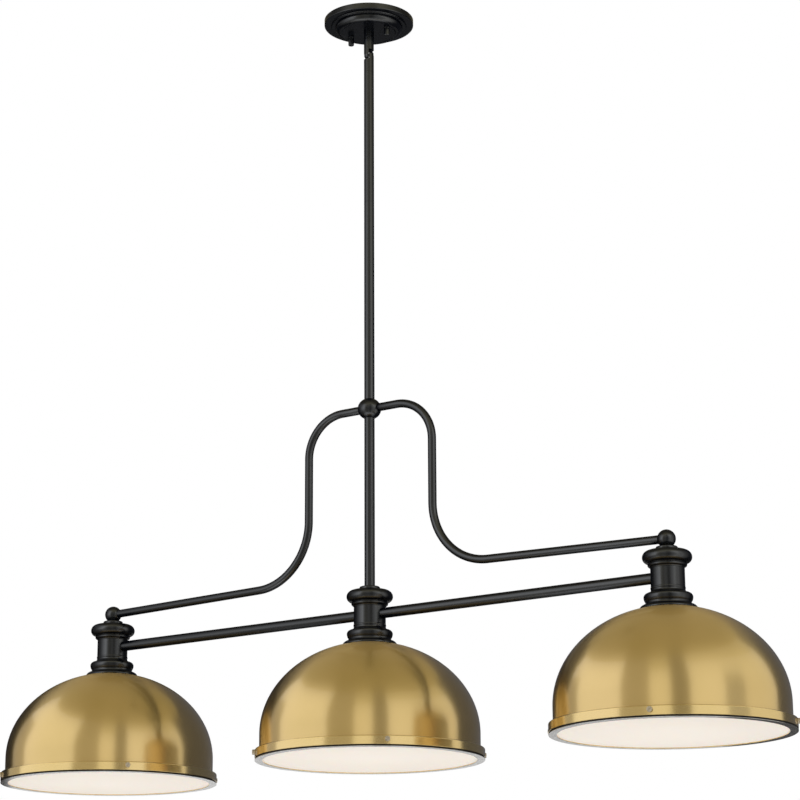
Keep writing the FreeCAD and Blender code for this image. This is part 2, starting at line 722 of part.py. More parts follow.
def ring():
    """Rolled channel ring: lip under the diffuser, upright band, ledge against the dome."""
    lip_z = ring_z + ring_wall
    top_z = ring_z + ring_h
    ledge_r = dome_r + body_gap
    inner = ring_r - ring_wall
    edge = ring_edge_round
    corner = edge * (1 - sqrt(0.5))
    band = turned(
        (ring_lip_r, ring_z), (ring_r - edge, ring_z),
        ((ring_r - corner, ring_z + corner), (ring_r, ring_z + edge)), (ring_r, top_z - edge),
        ((ring_r - corner, top_z - corner), (ring_r - edge, top_z)), (ledge_r, top_z),
        (ledge_r, top_z - ring_wall), (inner, top_z - ring_wall), (inner, lip_z), (ring_lip_r, lip_z))
    return band


def diffuser():
    """Frosted glass disc lying on the ring's lip."""
    return Part.makeCylinder(ring_r - ring_wall - diffuser_edge, diffuser_t, V(0, 0, ring_z + ring_wall))


def screw_directions(turn):
    """Angles of the ring screws; the turn of the first is from -Y towards +X."""
    return [turn - 90 + k * 360 / screw_count for k in range(screw_count)]


def ring_with_holes(turn):
    """The ring, drilled through its band for each screw."""
    band = ring()
    mid_z = ring_z + ring_h / 2
    for angle in screw_directions(turn):
        hole = Part.makeCylinder(screw_r + thread_gap, 2 * ring_reach, V(dome_r, 0, mid_z), V(1, 0, 0))
        hole.rotate(V(0, 0, 0), V(0, 0, 1), angle)
        band = band.cut(hole)
    return band


def ring_screws(turn):
    """Slotted thumb screws through the band, their points just off the dome."""
    z = ring_z + ring_h / 2
    tip = dome_r + body_gap
    shank = cylinder_x(screw_r, tip, ring_r, z)
    head = Part.makeCylinder(screw_head_r, screw_head_h, V(ring_r, 0, z), V(1, 0, 0))
    face_x = ring_r + screw_head_h
    head = head.makeFillet(screw_edge_round, [e for e in head.Edges if abs(e.BoundBox.XMin - face_x) < 1e-6])
    slot = Part.makeBox(screw_slot_d, 2 * screw_head_r, screw_slot_w,
                        V(face_x - screw_slot_d, -screw_head_r, z - screw_slot_w / 2))
    slot.rotate(V(0, 0, z), V(1, 0, 0), 35)
    screw = head.cut(slot).fuse(shank).removeSplitter()
    screws = []
    for angle in screw_directions(turn):
        copy = screw.copy()
        copy.rotate(V(0, 0, 0), V(0, 0, 1), angle)
        screws.append(copy)
    return screws


def straight_lead():
    """Main lead, from the swivel down to the middle lampholder."""
    high = pivot_z - swivel_tail + swivel_socket - nipple_tip
    return Part.makeCylinder(inner_lead_r, high - socket_floor_z, V(0, 0, socket_floor_z))


def side_lead(side):
    """Branch lead, from the middle barrel along a bar and down an end lamp."""
    bend = inner_lead_bend
    corner = bend * (1 - sqrt(0.5))
    start_x = 2 * inner_lead_r + thread_gap
    a = V(side * start_x, 0, bar_z)
    b = V(side * (lamp_spacing - bend), 0, bar_z)
    mid = V(side * (lamp_spacing - corner), 0, bar_z - corner)
    c = V(side * lamp_spacing, 0, bar_z - bend)
    d = V(side * lamp_spacing, 0, socket_floor_z)
    return pipe([Part.LineSegment(a, b).toShape(), Part.Arc(b, mid, c).toShape(),
                 Part.LineSegment(c, d).toShape()], inner_lead_r)


# ---------------------------------------------------------------- write every node

os.makedirs("parts", exist_ok=True)

save("crossbar", crossbar())
save("crossbar_studs", *[at(crossbar_stud(), side * stud_spacing / 2) for side in (-1, 1)])
save("ground_screw", at(ground_screw(), ground_screw_x))
save("canopy", canopy())
save("canopy_cap_nuts", *[at(cap_nut(), side * stud_spacing / 2) for side in (-1, 1)])
save("canopy_nipple", tube(nipple_r, nipple_bore_r, dish_z - swivel_socket + nipple_tip, nut_top_z))
save("canopy_locknut", hex_nut(locknut_flats, nipple_r + thread_gap, dish_z + canopy_wall, locknut_h))
save("wire_nuts", *[wire_nut(turn) for turn in (90, 210, 330)])
save("canopy_leads", *[canopy_lead(turn) for turn in (90, 210, 330)])

swivel_end_z = pivot_z - swivel_tail
save("swivel_top", swivel_half(dish_z, -1))
save("swivel_bottom", swivel_half(swivel_end_z, 1))
save("swivel_pin", swivel_pin())

rod_bore = rod_r - rod_wall
ball_flat = seat_height(centre_ball_r, rod_r)
save("rod_upper", rod(rod_r, rod_bore, seam_z, swivel_end_z))
save("rod_lower", rod(rod_r, rod_bore, ball_z + ball_flat, seam_z))
save("stem_tube", rod(rod_r, rod_bore, collar_top_z, ball_z - ball_flat))
save("rod_couplers",
     tube(nipple_r, nipple_bore_r, swivel_end_z - coupler_reach, swivel_end_z + coupler_reach),
     tube(nipple_r, nipple_bore_r, seam_z - coupler_reach, seam_z + coupler_reach),
     tube(nipple_r, nipple_bore_r, ball_z - ball_flat - coupler_reach, ball_z + ball_flat + coupler_reach))
save("centre_ball", centre_ball())

for name, side in (("left", -1), ("right", 1)):
    save("arm_" + name, arm(side))
    save("bar_" + name, bar(side))
    save("finial_ball_" + name, at(finial_ball(-side), side * lamp_spacing))

for name, lamp in lamps.items():
    x = lamp["x"]
    turn = lamp["screw_turn"]
    save("collar_" + name, at(collar(), x))
    save("neck_cap_" + name, at(neck_cap(), x))
    save("neck_barrel_" + name, at(neck_barrel(lamp["bar_sides"]), x))
    save("neck_base_" + name, at(neck_base(), x))
    save("dome_" + name, at(dome(), x))
    save("socket_" + name, at(socket(), x))
    save("bulb_" + name, at(bulb(), x))
    save("ring_" + name, at(ring_with_holes(turn), x))
    save("diffuser_" + name, at(diffuser(), x))
    save("ring_screws_" + name, *[at(screw, x) for screw in ring_screws(turn)])

places = [lamp["x"] for lamp in lamps.values()]
save("lower_nipples", *[at(lower_nipple(), x) for x in places])
save("upper_nipples", *[at(upper_nipple(), x) for x in places])
save("lamp_locknuts", *[at(nut, x) for x in places for nut in lamp_locknuts()])
save("dome_washers", *[at(dome_washer(), x) for x in places])
save("socket_shells", *[at(socket_shell(), x) for x in places])
save("inner_leads", straight_lead(), side_lead(-1), side_lead(1))
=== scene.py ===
"""Linear island pendant: three spun brass domes under a black bar, hung by jointed rods from a stepped canopy.

Lengths in the shapes are millimetres and the meshes are metres.  The origin is the centre of the crossbar's
top face, +Z is up, and X runs along the row of lamps.
"""
import bpy
import numpy as np
from mathutils import Matrix, Vector


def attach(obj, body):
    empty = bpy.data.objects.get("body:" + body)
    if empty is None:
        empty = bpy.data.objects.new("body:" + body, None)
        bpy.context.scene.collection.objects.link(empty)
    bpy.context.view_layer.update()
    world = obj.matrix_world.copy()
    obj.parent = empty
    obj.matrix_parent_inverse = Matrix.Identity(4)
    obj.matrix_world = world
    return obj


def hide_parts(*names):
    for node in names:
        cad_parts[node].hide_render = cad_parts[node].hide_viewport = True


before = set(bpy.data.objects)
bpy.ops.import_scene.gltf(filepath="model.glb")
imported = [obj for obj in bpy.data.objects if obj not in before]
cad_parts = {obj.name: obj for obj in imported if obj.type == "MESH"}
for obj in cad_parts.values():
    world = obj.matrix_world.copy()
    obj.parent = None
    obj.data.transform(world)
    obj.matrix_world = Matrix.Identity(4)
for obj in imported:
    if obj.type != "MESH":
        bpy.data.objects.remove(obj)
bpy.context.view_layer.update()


# ---------------------------------------------------------------- crossbar and ground screw
# The strap that is screwed to the ceiling box: 2 mm sheet steel, sheared, slotted and zinc plated.
# A green round-head screw for the ground wire goes up into it from below.

def finish(name, **values):
    """A new material whose shader has these values on its sockets."""
    material = bpy.data.materials.new(name)
    material.use_nodes = True
    shader = material.node_tree.nodes["Principled BSDF"]
    for socket, value in values.items():
        shader.inputs[socket.replace("_", " ")].default_value = value
    return material


def add(material, kind, inputs=None, **settings):
    """A shader node in a material or the world, each input given a value or joined to another node's output."""
    node = material.node_tree.nodes.new("ShaderNode" + kind)
    for setting, value in settings.items():
        setattr(node, setting, value)
    for name, value in (inputs or {}).items():
        if isinstance(value, bpy.types.NodeSocket):
            material.node_tree.links.new(value, node.inputs[name])
        else:
            node.inputs[name].default_value = value
    return node


def feed(material, socket, output):
    """Joins an output to one of the shader's sockets."""
    material.node_tree.links.new(output, material.node_tree.nodes["Principled BSDF"].inputs[socket])


def mottle(material, scale, detail=3.0, stretch=(1, 1, 1), source=None):
    """Noise of a scale per metre, pulled out along the axes by a stretch, on the piece's own coordinates."""
    source = source or add(material, "TexCoord").outputs["Object"]
    drawn = add(material, "Mapping", {"Vector": source, "Scale": stretch}).outputs["Vector"]
    return add(material, "TexNoise", {"Vector": drawn, "Scale": scale, "Detail": detail}).outputs["Fac"]


def shades(material, factor, *stops):
    """Colour ramp over a factor; a stop is a position and a colour."""
    ramp = add(material, "ValToRGB", {"Fac": factor})
    elements = ramp.color_ramp.elements
    for element, (position, colour) in zip((elements[0], elements[1]), (stops[0], stops[-1])):
        element.position = position
        element.color = (*colour, 1)
    for position, colour in stops[1:-1]:
        elements.new(position).color = (*colour, 1)
    return ramp.outputs["Color"]


def between(material, factor, low, high):
    """A number that goes from low to high as the factor goes through its middle range."""
    return add(material, "MapRange", {"Value": factor, "From Min": 0.3, "From Max": 0.7,
                                      "To Min": low, "To Max": high}).outputs["Result"]


def relief(material, *layers):
    """Bump from several patterns laid on each other; a layer is a height and its depth in metres."""
    normal = None
    for height, depth in layers:
        inputs = {"Height": height, "Distance": depth, "Strength": 1.0}
        if normal:
            inputs["Normal"] = normal
        normal = add(material, "Bump", inputs).outputs["Normal"]
    feed(material, "Normal", normal)


def dress(material, *nodes):
    """Gives CAD nodes that stay in view a finish."""
    for name in nodes:
        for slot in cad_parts[name].material_slots:
            slot.material = material


zinc_steel = finish("zinc_plated_steel", Metallic=1.0, Roughness=0.34)
spangle = mottle(zinc_steel, 260, 2)
rolled = mottle(zinc_steel, 40, 4, (0.4, 30, 30))
feed(zinc_steel, "Base Color", shades(zinc_steel, spangle, (0.3, (0.40, 0.41, 0.42)), (0.7, (0.56, 0.57, 0.58))))
feed(zinc_steel, "Roughness", between(zinc_steel, rolled, 0.26, 0.44))
relief(zinc_steel, (rolled, 0.00002))
dress(zinc_steel, "crossbar", "rod_couplers", "canopy_locknut", "lower_nipples", "upper_nipples",
      "lamp_locknuts", "dome_washers")

ground_green = finish("green_dyed_steel", Metallic=1.0, Roughness=0.4)
feed(ground_green, "Base Color",
     shades(ground_green, mottle(ground_green, 900), (0.3, (0.03, 0.20, 0.07)), (0.7, (0.05, 0.32, 0.12))))
dress(ground_green, "ground_screw")


# ---------------------------------------------------------------- studs and threaded tube in the canopy
# Two 8-32 steel studs hang from the crossbar and carry the canopy; a short threaded tube goes through
# the dish into the swivel.  Both have rolled threads.

def woven(points, closed=False):
    """A skin over a grid of points, rows along the piece and columns round it.

    Columns join up, rows do where closed, and a row that has shrunk to a point is one vertex.  A point's normal
    is the cross product of the chords between its neighbours round and along the piece.
    """
    rows, columns = points.shape[:2]
    round_chord = np.roll(points, -1, axis=1) - np.roll(points, 1, axis=1)
    ahead, behind = np.roll(points, -1, axis=0), np.roll(points, 1, axis=0)
    if not closed:
        ahead[-1], behind[0] = points[-1], points[0]
    normals = np.cross(round_chord, ahead - behind)
    shrunk = np.ptp(points, axis=1).max(axis=1) < 1e-5
    for row in np.flatnonzero(shrunk):
        normals[row] = normals[1 if row == 0 else row - 1].mean(axis=0)
    normals /= np.maximum(np.linalg.norm(normals, axis=-1, keepdims=True), 1e-12)

    step = np.linalg.norm(ahead - points, axis=-1).mean(axis=1)
    run = np.concatenate([[0.0], np.cumsum(step)])[:rows + 1]
    turn = 2 * np.pi * np.arange(columns) / columns
    turning = np.stack(np.broadcast_arrays(np.cos(turn), np.sin(turn), run[:rows, None] * 0.001), axis=-1)

    index = np.arange(rows * columns).reshape(rows, columns)
    index[shrunk] = index[shrunk, :1]
    here, there = (index, np.roll(index, -1, axis=0)) if closed else (index[:-1], index[1:])
    quads = np.stack([here, np.roll(here, -1, axis=1), np.roll(there, -1, axis=1), there], axis=-1)
    across = np.arange(columns) / columns
    u = np.stack([across, across + 1 / columns, across + 1 / columns, across], axis=-1)
    low, high = run[:len(here), None], run[1:len(here) + 1, None]
    v = np.stack([low, low, high, high], axis=-1) * 0.001
    uv = np.stack(np.broadcast_arrays(u[None], v), axis=-1)
    kept = quads != np.roll(quads, 1, axis=-1)
    used, corners = np.unique(quads[kept], return_inverse=True)
    middles = points.reshape(-1, 3)[quads].mean(axis=-2).reshape(-1, 3)
    return {"points": points.reshape(-1, 3)[used], "normals": normals.reshape(-1, 3)[used], "middles": middles,
            "turning": turning.reshape(-1, 3)[used], "corners": corners.ravel(),
            "sizes": kept.sum(axis=-1).ravel(), "uv": uv[kept], "finish": 0}


def stood(points, foot, axis):
    """Points made about +Z, moved to a foot and turned until +Z lies along an axis."""
    axis = np.asarray(axis, float) / np.linalg.norm(axis)
    side = np.cross((0, 0, 1), axis)
    side = side / np.linalg.norm(side) if np.linalg.norm(side) > 1e-9 else np.array([1.0, 0, 0])
    return np.asarray(foot) + points @ np.array([side, np.cross(axis, side), axis])


def piece(name, skins, finishes, body):
    """One object made of skins, riding on a body in place of the CAD node of its name."""
    finishes = finishes if isinstance(finishes, (list, tuple)) else [finishes]
    starts = np.cumsum([0] + [len(skin["points"]) for skin in skins])
    points = np.concatenate([skin["points"] for skin in skins])
    corners = np.concatenate([skin["corners"] + start for skin, start in zip(skins, starts)])
    sizes = np.concatenate([skin["sizes"] for skin in skins])
    mesh = bpy.data.meshes.new(name)
    mesh.vertices.add(len(points))
    mesh.vertices.foreach_set("co", (points * 0.001).astype(np.float32).ravel())
    mesh.loops.add(len(corners))
    mesh.loops.foreach_set("vertex_index", corners.astype(np.int32))
    mesh.polygons.add(len(sizes))
    mesh.polygons.foreach_set("loop_start", (np.cumsum(sizes) - sizes).astype(np.int32))
    which = np.concatenate([np.full(len(skin["sizes"]), skin["finish"]) for skin in skins])
    mesh.polygons.foreach_set("material_index", which.astype(np.int32))
    mesh.polygons.foreach_set("use_smooth", np.ones(len(sizes), bool))
    mesh.update(calc_edges=True)
    uv = np.concatenate([skin["uv"] for skin in skins])
    mesh.uv_layers.new(name="turn").data.foreach_set("uv", uv.astype(np.float32).ravel())
    turning = np.concatenate([skin["turning"] for skin in skins])
    held = mesh.attributes.new("turning", "FLOAT_VECTOR", "POINT")
    held.data.foreach_set("vector", turning.astype(np.float32).ravel())
    normals = np.concatenate([skin["normals"] for skin in skins])
    mesh.normals_split_custom_set_from_vertices(normals.tolist())
    for material in finishes:
        mesh.materials.append(material)
    made = bpy.data.objects.new(name, mesh)
    bpy.context.scene.collection.objects.link(made)
    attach(made, body)
    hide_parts(name)


def threaded(radius, depth, pitch, low, high, bore=0.0, around=24, rows_a_turn=8):
    """Rolled thread: the radius falls by depth times half of 1 + cos(2 pi height / pitch - angle)."""
    heights = np.linspace(low, high, int((high - low) / pitch * rows_a_turn))[:, None]
    turn = 2 * np.pi * np.arange(around) / around
    wave = 0.5 + 0.5 * np.cos(2 * np.pi * heights / pitch - turn)
    worn = np.minimum(heights - low, high - heights) / pitch
    reach = radius - depth * np.maximum(wave, 1 - np.minimum(worn, 1))
    outside = np.stack(np.broadcast_arrays(reach * np.cos(turn), reach * np.sin(turn), heights), axis=-1)
    inside = np.stack(np.broadcast_arrays(bore * np.cos(turn), bore * np.sin(turn),
                                          np.array([[high], [low]])), axis=-1)
    if bore:
        return woven(np.concatenate([outside, inside]), closed=True)
    return woven(np.concatenate([inside[1:], outside, inside[:1]]))


def moved(skin, x):
    """A copy of a skin, moved along X."""
    return {**skin, "points": skin["points"] + (x, 0, 0)}


thread_steel = finish("rolled_thread_steel", Metallic=1.0, Roughness=0.3)
thread_tone = mottle(thread_steel, 700)
feed(thread_steel, "Base Color",
     shades(thread_steel, thread_tone, (0.3, (0.46, 0.46, 0.45)), (0.7, (0.62, 0.61, 0.58))))
feed(thread_steel, "Roughness", between(thread_steel, thread_tone, 0.24, 0.40))
relief(thread_steel, (mottle(thread_steel, 3000), 0.00001))

dish_z = -20.5
stud_x = 34.9
stud = threaded(radius=2.0, depth=0.24, pitch=0.794, low=dish_z - 8.0, high=0.0)
piece("crossbar_studs", [moved(stud, -stud_x), moved(stud, stud_x)], thread_steel, "ceiling_set")
nipple = threaded(radius=5.05, depth=0.28, pitch=0.941, low=dish_z - 13.0, high=dish_z + 4.4, bore=3.5, around=40)
piece("canopy_nipple", [nipple], thread_steel, "ceiling_set")


# ---------------------------------------------------------------- canopy
# A spun steel pan, open at the top, with an upright rim, a flat underside, a small step, a cove and a flat
# dish.  It is powder coated satin black, as every black piece below it is.

def bow(start, through, end, count=14):
    """Points on the circle through three points, at equal turns from the first to the last."""
    a, b, c = (complex(*p) for p in (start, through, end))
    w = (c - a) / (b - a)
    centre = (b - a) * (w - abs(w) ** 2) / (2j * w.imag) + a
    turn = np.angle((c - centre) / (a - centre))
    points = centre + (a - centre) * np.exp(1j * np.linspace(0, turn, count))
    return np.stack([points.real, points.imag, 0 * points.real], axis=-1)


def profile(*parts, ease=0.25):
    """A turned outline of (radius, height) points, or (radius, height, ease), and arcs.

    A corner C gives way to the curve (1-s)^2 A + 2s(1-s) C + s^2 B, where A and B lie its ease back and on
    along the two runs that meet there.
    """
    rows = [part if isinstance(part, np.ndarray) else np.array([[*part, ease][:3]], float) for part in parts]
    rows = np.concatenate(rows)
    corner = rows[:, :2]
    eased = np.where(rows[:, :1] < 1e-9, 0.0, rows[:, 2:])
    back, on = np.roll(corner, 1, axis=0) - corner, np.roll(corner, -1, axis=0) - corner
    back_run = np.maximum(np.linalg.norm(back, axis=1, keepdims=True), 1e-9)
    on_run = np.maximum(np.linalg.norm(on, axis=1, keepdims=True), 1e-9)
    a = corner + back / back_run * np.minimum(eased, 0.48 * back_run)
    b = corner + on / on_run * np.minimum(eased, 0.48 * on_run)
    s = np.linspace(0, 1, 6)[:, None, None]
    line = ((1 - s) ** 2 * a + 2 * s * (1 - s) * corner + s ** 2 * b).transpose(1, 0, 2).reshape(-1, 2)
    return line[np.linalg.norm(line - np.roll(line, 1, axis=0), axis=1) > 1e-4]


def turned(outline, around, x=0.0, foot=None, axis=(0, 0, 1)):
    """An outline carried round an axis: x = r cos a, y = r sin a, z = height.

    An outline that starts and ends on the axis is a solid form; any other closes on itself.
    """
    radius, height = outline.T
    if np.sum(radius * np.roll(height, -1) - np.roll(radius, -1) * height) < 0:
        radius, height = radius[::-1], height[::-1]
    turn = 2 * np.pi * np.arange(around) / around
    points = np.stack(np.broadcast_arrays(radius[:, None] * np.cos(turn), radius[:, None] * np.sin(turn),
                                          height[:, None]), axis=-1)
    return woven(stood(points, (x, 0, 0) if foot is None else foot, axis), closed=radius[0] > 1e-9)


satin_black = finish("satin_black_powder_coat", Roughness=0.26, IOR=1.68, Specular_Tint=(0.94, 0.97, 1, 1))
coat_cloud = mottle(satin_black, 14, 4)
orange_peel = mottle(satin_black, 1100, 2)
feed(satin_black, "Base Color",
     shades(satin_black, coat_cloud, (0.3, (0.0010, 0.0014, 0.0030)), (0.7, (0.0024, 0.0029, 0.0046))))
feed(satin_black, "Roughness", between(satin_black, coat_cloud, 0.24, 0.29))
relief(satin_black, (orange_peel, 0.000006))

# The coat is glossiest where it faces the eye a little aslant, and its gloss dies out towards a piece's edges.
facing = add(satin_black, "LayerWeight", {"Blend": 0.5}).outputs["Facing"]
gloss_levels = ((0.0, 0.20), (0.06, 0.50), (0.12, 0.95), (0.19, 0.68), (0.3, 0.24), (0.42, 0.08), (0.62, 0.04),
                (1.0, 0.01))
feed(satin_black, "Specular IOR Level",
     shades(satin_black, facing, *((position, (level,) * 3) for position, level in gloss_levels)))

sheet = 1.2
rim_r, rim_z = 71.5, -9.5
step_r, step_z = 60.0, -12.1
cove_r, dish_r = 54.0, 41.5
nipple_hole = 5.3
pan = profile(
    (rim_r - sheet, 0), (rim_r, 0), (rim_r, rim_z, 1.3), (step_r, rim_z, 1.2), (step_r, step_z, 0.6),
    (cove_r, step_z, 0.5), bow((cove_r, step_z), (51.5, -18.55), (dish_r, dish_z), 24),
    (nipple_hole, dish_z), (nipple_hole, dish_z + sheet), (dish_r - 0.6, dish_z + sheet, 0.4),
    bow((dish_r - 0.6, dish_z + sheet), (50.65, -17.6), (cove_r - sheet, step_z + sheet), 16),
    (step_r - sheet, step_z + sheet, 0.4), (step_r - sheet, rim_z + sheet, 0.6),
    (rim_r - sheet, rim_z + sheet, 0.6))
piece("canopy", [turned(pan, 160)], satin_black, "ceiling_set")

nut_r, nut_foot, groove_r = 4.6, dish_z - 14, 4.3
nut = profile((0, nut_foot), (nut_r, nut_foot, 1.5), (nut_r, dish_z - 1.6, 0.3), (groove_r, dish_z - 1.3, 0.2),
              (groove_r, dish_z - 0.9, 0.2), (nut_r, dish_z - 0.6, 0.2), (nut_r, dish_z, 0.2), (0, dish_z))
piece("canopy_cap_nuts", [turned(nut, 48, -stud_x), turned(nut, 48, stud_x)], satin_black, "ceiling_set")


# ---------------------------------------------------------------- leads and their connectors in the canopy
# Black, white and bare copper leads come up out of the threaded tube, bend over its edge and go into three
# moulded twist-on connectors that lie on the canopy's floor.

def carried(path, radius, around):
    """A round bar: a circle carried along a path, square to the chord between each point's neighbours."""
    path = np.asarray(path, float)
    ahead = np.concatenate([path[1:], path[-1:]])
    behind = np.concatenate([path[:1], path[:-1]])
    along = ahead - behind
    along /= np.linalg.norm(along, axis=1, keepdims=True)
    flat = np.linalg.svd(path - path.mean(axis=0))[2][2]
    side = np.cross(flat, along)
    turn = (2 * np.pi * np.arange(around) / around)[None, :, None]
    rings = path[:, None] + radius * (np.cos(turn) * side[:, None] - np.sin(turn) * flat)
    rings = np.concatenate([np.repeat(path[:1, None], around, axis=1), rings,
                            np.repeat(path[-1:, None], around, axis=1)])
    return woven(rings)


jackets = []
for name, dark, light, metal in (("black_lead", (0.010, 0.010, 0.010), (0.022, 0.022, 0.022), 0.0),
                                 ("white_lead", (0.66, 0.65, 0.61), (0.78, 0.77, 0.73), 0.0),
                                 ("copper_lead", (0.55, 0.24, 0.13), (0.80, 0.42, 0.26), 1.0)):
    jacket = finish(name, Metallic=metal, Roughness=0.42)
    rub = mottle(jacket, 900, 3)
    feed(jacket, "Base Color", shades(jacket, rub, (0.3, dark), (0.7, light)))
    relief(jacket, (rub, 0.00003))
    jackets.append(jacket)

locknut_t = 3.2
connector_r = 5.3
lead_r, lead_x, lead_end = 1.0, 1.9, 15.5
lead_turns = np.radians((90, 210, 330))
diagonal = np.sqrt(0.5)
nut_top_z = dish_z + sheet + locknut_t
splice_z = dish_z + sheet + connector_r + 0.3
bend = splice_z - nut_top_z
over_edge = bow((lead_x, nut_top_z), (lead_x + bend * (1 - diagonal), nut_top_z + bend * diagonal),
                (lead_x + bend, nut_top_z + bend))
line = np.concatenate([[[lead_x, dish_z - 13.9]], over_edge[:, :2], [[lead_end, splice_z]]])
leads = []
for k, turn in enumerate(lead_turns):
    path = np.stack([line[:, 0] * np.cos(turn), line[:, 0] * np.sin(turn), line[:, 1]], axis=-1)
    leads.append({**carried(path, lead_r, 16), "finish": k})
piece("canopy_leads", leads, jackets, "ceiling_set")

connector = finish("moulded_connector", Roughness=0.4)
bloom = mottle(connector, 300)
feed(connector, "Base Color", shades(connector, bloom, (0.3, (0.72, 0.20, 0.02)), (0.7, (0.85, 0.28, 0.04))))
relief(connector, (mottle(connector, 2600), 0.00002))


def twist_on(direction):
    """Twist-on connector: radius = taper times 1 + 0.05 cos(14 angle) along its grip; skirt and tip are plain."""
    along = np.array([0, 0, 0.6, 1.2, 3.4, 4.2, 5, 7, 9, 11, 13, 15, 16, 16.6, 17, 17])[:, None]
    taper = np.array([1.25, 4.4, 5.0, 5.1, 5.1, 4.9, 4.7, 4.5, 4.2, 4.0, 3.7, 3.5, 3.2, 2.6, 1.6, 0])[:, None]
    turn = 2 * np.pi * np.arange(84) / 84
    ribbed = np.where((along > 4) & (along < 15.5), 0.05, 0.0)
    reach = taper * (1 + ribbed * np.cos(14 * turn))
    body = np.stack(np.broadcast_arrays(reach * np.cos(turn), reach * np.sin(turn), along), axis=-1)
    mouth, droop = 14.0, -0.1235
    lie = (np.cos(direction), np.sin(direction), droop)
    return woven(stood(body, (mouth * lie[0], mouth * lie[1], splice_z), lie))


piece("wire_nuts", [twist_on(turn) for turn in lead_turns], connector, "ceiling_set")


# ---------------------------------------------------------------- swivel, rods and stem
# A half-lap knuckle, milled from the rod's own bar, lets the light hang straight.  Below it two drawn steel
# tubes screw together end to end, then the ball, then a last length of tube down to the middle lamp.

dress(satin_black, "swivel_top", "swivel_bottom")

pin_z, pin_r, pin_end = -59.5, 2.35, 7.35
swing = np.radians(35)
pin_axis = np.array([np.cos(swing), np.sin(swing), 0])
rivet = profile((0, -pin_end), (pin_r, -pin_end, 0.5), (pin_r, pin_end, 0.5), (0, pin_end))
piece("swivel_pin", [turned(rivet, 40, foot=(0, 0, pin_z), axis=pin_axis)], satin_black, "ceiling_set")

rod_r, rod_bore = 7.95, 5.2
rod_top, joint_z, stem_foot = pin_z - 30, -310.5, -927.7
ball_z, ball_seat_r = -648.5, 17.0
ball_flat = np.sqrt(ball_seat_r ** 2 - rod_r ** 2)
ball_top, ball_foot = ball_z + ball_flat, ball_z - ball_flat
for name, low, high in (("rod_upper", joint_z, rod_top), ("rod_lower", ball_top, joint_z),
                        ("stem_tube", stem_foot, ball_foot)):
    tube = profile((rod_bore, low), (rod_r, low, 0.35), (rod_r, high, 0.35), (rod_bore, high))
    piece(name, [turned(tube, 64)], satin_black, "pendant")


# ---------------------------------------------------------------- centre ball and arms
# A turned ball takes the rod, the stem and two bent tubes.  Each arm goes out, down and out again, and falls
# slightly to the ball that stands on an end lamp.

ball_r, tapped_r = 18.2, 5.15
ball = profile((tapped_r, ball_foot), (rod_r, ball_foot, 0.2),
               bow((rod_r, ball_foot), (ball_r, ball_z), (rod_r, ball_top), 48),
               (rod_r, ball_top, 0.2), (tapped_r, ball_top))
piece("centre_ball", [turned(ball, 96)], satin_black, "pendant")

bar_z = -970.5
finial_z, finial_seat_r = bar_z + 54, 12.7
lamp_x = 508.0
arm_r, arm_x = 6.35, 115.0
top_bend_r, low_bend_r = 64, 98
fall = np.radians(1.3)
foot_x = arm_x + low_bend_r
foot_z = finial_z + (lamp_x - foot_x) * np.tan(fall) + low_bend_r / np.cos(fall)
cut = top_bend_r * (1 - diagonal)
top_bend = bow((arm_x - top_bend_r, ball_z), (arm_x - cut, ball_z - cut), (arm_x, ball_z - top_bend_r), 40)
quarter = np.array([0.0, 0.5, 1.0]) * (np.pi / 2 - fall)
low_bend = bow(*np.stack([foot_x - low_bend_r * np.cos(quarter), foot_z - low_bend_r * np.sin(quarter)],
                         axis=-1), 56)
reach = np.sqrt(finial_seat_r ** 2 - arm_r ** 2)
start = (np.sqrt(ball_seat_r ** 2 - arm_r ** 2), ball_z)
end = (lamp_x - reach * np.cos(fall), finial_z + reach * np.sin(fall))
line = np.concatenate([[start], top_bend[:, :2], low_bend[:, :2], [end]])
for name, side in (("arm_left", -1), ("arm_right", 1)):
    path = np.stack([side * line[:, 0], 0 * line[:, 0], line[:, 1]], axis=-1)
    piece(name, [carried(path, arm_r, 40)], satin_black, "pendant")


# ---------------------------------------------------------------- horizontal bars
# Two straight tubes run between the barrels, just inside their walls.

bar_r, bar_bore, bar_start = 8.0, 6.8, 19.6
for name, side in (("bar_left", -1), ("bar_right", 1)):
    low, high = bar_start, lamp_x - bar_start
    tube = profile((bar_bore, low), (bar_r, low), (bar_r, high), (bar_bore, high))
    piece(name, [turned(tube, 64, foot=(0, 0, bar_z), axis=(side, 0, 0))], satin_black, "pendant")


# ---------------------------------------------------------------- neck of each lamp
# Turned pieces drawn together by a threaded tube: an end lamp's ball, a collar, a cap with a wide bulge, a
# barrel that takes the bars, and a base with a torus and a flange that sits on the dome.

lamps = {"left": -lamp_x, "middle": 0.0, "right": lamp_x}
barrel_r = 24.2
barrel_top = bar_z + 11
barrel_foot = bar_z - 19
cap_top = barrel_top + 27
collar_top = cap_top + 4.8
crown_z = bar_z - 43
dome_r, dome_rise = 165.0, 137.5
skirt_z = crown_z - dome_rise


def dome_height(radius, inset=0.0):
    """Height of the dome's face: centre + rise sqrt(1 - (r / semi-width)^2)."""
    return skirt_z + (dome_rise - inset) * np.sqrt(1 - (radius / (dome_r - inset)) ** 2)


finial_r, finial_foot_r = 13.3, 8.6
finial_foot = finial_z - np.sqrt(finial_r ** 2 - finial_foot_r ** 2)
finial = profile(
    (0, finial_z + 8), (tapped_r, finial_z + 8), (tapped_r, collar_top), (finial_foot_r, collar_top, 0.15),
    (finial_foot_r, finial_foot, 0.15),
    bow((finial_foot_r, finial_foot), (finial_r, finial_z), (0, finial_z + finial_r), 44)[1:])
collar = profile((nipple_hole, cap_top), (15.6, cap_top, 0.4), (15.6, collar_top, 2.4), (nipple_hole, collar_top))

